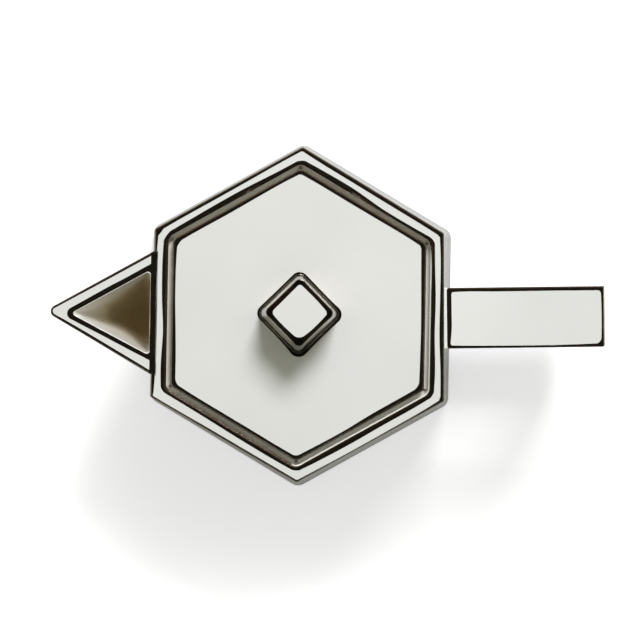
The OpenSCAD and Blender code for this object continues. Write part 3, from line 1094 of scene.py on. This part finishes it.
def ridge_rail(turn):
    """The rounded outer side of the ridge, from the lid up to its level top."""
    def rail(way):
        tall = brushed(coat_ridge, way)
        out = coat_fillet + brushed(coat_spread, way) + tall * (math.cos(math.radians(turn)) - 1)
        z = knob_low.z + tall * math.sin(math.radians(turn))
        return knob_ring(knob_base_half + coat + out, [knob_corner + out] * 4, z)(way)
    return rail


def face_rail(z, back=0):
    """The coat's inner edge on the knob's top."""
    def rail(way):
        wide = brushed(face_widths, way) - back
        return knob_ring(knob_top_half - wide, [r * MM for r in face_radii], z)(way) + knob_sway
    return rail


knob_film = paint(
    "knob_platinum_film", stations(4, on_corner=8),
    [knob_ring(knob_base_half - BURIED, [knob_corner] * 4, knob_low.z - BURIED),
     lambda way: ridge_rail(0)(way) - Vector((0, 0, BURIED))]
    + [ridge_rail(18 * i) for i in range(6)]
    + [fillet_rail(18 * i) for i in range(6)]
    + [knob_top_rail(15 * i) for i in range(7)]
    + film_end(face_rail, knob_top, coat)
    + [lambda way: knob_ring(knob_top_half - knob_edge - BURIED, [knob_top_corner] * 4,
                             knob_top - knob_edge - BURIED)(way) + knob_sway],
    "knob_platinum", "lid")
knob_film.data.materials[0] = shaded_platinum


# ------------------------------------------------------------------------
# Studio: a sweep of white paper, one soft box, and walls of pale and dark flats under a
# dark ceiling, with the camera straight above the pot.
camera_height = 850 * MM
camera_x, camera_y = 9.07 * MM, -2.2 * MM
camera_roll = math.radians(1.03)
focal_px = 1776
frame_px = 641

camera_data = bpy.data.cameras.new("camera")
camera_data.sensor_width = 36
camera_data.lens = focal_px / frame_px * camera_data.sensor_width
camera = bpy.data.objects.new("camera", camera_data)
camera.location = (camera_x, camera_y, camera_height)
camera.rotation_euler = (0, 0, camera_roll)
bpy.context.scene.collection.objects.link(camera)
bpy.context.scene.camera = camera

bpy.ops.object.select_all(action="DESELECT")
bpy.ops.mesh.primitive_plane_add(size=6, location=(0, 0, 0))
floor = bpy.context.object
floor.name = "floor"

# White paper: matt, and lit until it reads as white, while the pot still casts its soft shadow on it.
# Its glow is painted weaker near the pot and stronger away from it, so the shadow fades into plain white.
# For bounced light, and mostly in gloss, it is plain grey.
fade_centre = (22 * MM, 2 * MM, 0)
fade_reach = (120 * MM, 118 * MM, 1)
gloss_share = 0.2                   # how much of the lit paper shows in gloss
paper = bpy.data.materials.new("white_paper_sweep")
paper.use_nodes = True
tree = paper.node_tree
tree.nodes.remove(tree.nodes["Principled BSDF"])
seen = add_node(tree, "LightPath")
glossy = add_node(tree, "Math", {0: seen.outputs["Is Glossy Ray"]}, operation="MULTIPLY")
glossy.inputs[1].default_value = gloss_share
shown = add_node(tree, "Math", {0: seen.outputs["Is Camera Ray"], 1: glossy.outputs[0]},
                 operation="MAXIMUM")
direct = add_node(tree, "Math", {0: shown.outputs[0], 1: seen.outputs["Is Transmission Ray"]},
                  operation="MAXIMUM")
place = add_node(tree, "TexCoord").outputs["Object"]
away = add_node(tree, "VectorMath", {0: place}, operation="SUBTRACT")
away.inputs[1].default_value = fade_centre
share = add_node(tree, "VectorMath", {0: away.outputs[0]}, operation="DIVIDE")
share.inputs[1].default_value = fade_reach
square_share = add_node(tree, "VectorMath", {0: share.outputs[0], 1: share.outputs[0]},
                        operation="MULTIPLY")
reach = add_node(tree, "VectorMath", {0: square_share.outputs[0], 1: square_share.outputs[0]},
                 operation="DOT_PRODUCT")
# Painted light: the paper's glow grows away from the pot, so its shadow fades into white.
glow = add_node(tree, "MapRange", {"Value": reach.outputs["Value"]}, interpolation_type="SMOOTHSTEP",
                From_Min=0.25, From_Max=3, To_Min=0.575, To_Max=0.9)
plain = add_node(tree, "BsdfDiffuse", Color=linear("A8A8A6"))
pale = add_node(tree, "BsdfDiffuse", Color=linear("E7E7E2"))
shine = add_node(tree, "Emission", {"Strength": glow.outputs[0]}, Color=linear("F9F9FF"))
lit = add_node(tree, "AddShader", {0: pale.outputs[0], 1: shine.outputs[0]})
both = add_node(tree, "MixShader", {0: direct.outputs[0], 1: plain.outputs[0], 2: lit.outputs[0]})
tree.links.new(both.outputs[0], tree.nodes["Material Output"].inputs["Surface"])
floor.data.materials.append(paper)
floor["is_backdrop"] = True

lamp_azimuth = math.radians(73)
lamp_elevation = math.radians(46.5)
lamp_distance = 2.6
lamp_data = bpy.data.lights.new("soft_box", "AREA")
lamp_data.shape = "SQUARE"
lamp_data.size = 0.9
lamp_data.energy = 62
lamp_data.color = linear("F8F8FF")[:3]
lamp = bpy.data.objects.new("soft_box", lamp_data)
towards = Vector((math.cos(lamp_azimuth) * math.cos(lamp_elevation),
                  math.sin(lamp_azimuth) * math.cos(lamp_elevation), math.sin(lamp_elevation)))
lamp.location = towards * lamp_distance
lamp.rotation_euler = towards.to_track_quat("Z", "Y").to_euler()
bpy.context.scene.collection.objects.link(lamp)

world = bpy.data.worlds.new("studio")
world.use_nodes = True
bpy.context.scene.world = world
tree = world.node_tree
direction = add_node(tree, "TexCoord").outputs["Generated"]
split = add_node(tree, "SeparateXYZ", {"Vector": direction})
turn = add_node(tree, "MapRange", {"Value": split.outputs["Y"]}, From_Min=-0.2, From_Max=0.3)
room = add_node(tree, "Mix", {0: turn.outputs["Result"]}, data_type="RGBA")
# Upwards: a pale skirt, dark flats, a pale band and the ceiling. The flats on the +Y side are brown.
for side, flats in ((6, "1C1812"), (7, "54452F")):
    walls = add_node(tree, "ValToRGB", {"Fac": split.outputs["Z"]},
                     [(0.17, "FFFFF2"), (0.3, flats), (0.58, flats), (0.68, "DEE1D2"), (0.82, "DEE1D2"),
                      (0.91, "1E1B15")])
    tree.links.new(walls.outputs["Color"], room.inputs[side])
tree.links.new(room.outputs[2], tree.nodes["Background"].inputs["Color"])

bpy.context.scene.view_settings.view_transform = "Standard"

size = {"cad": [list(c) for c in cad_box], "visual": [list(c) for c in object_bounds()]}
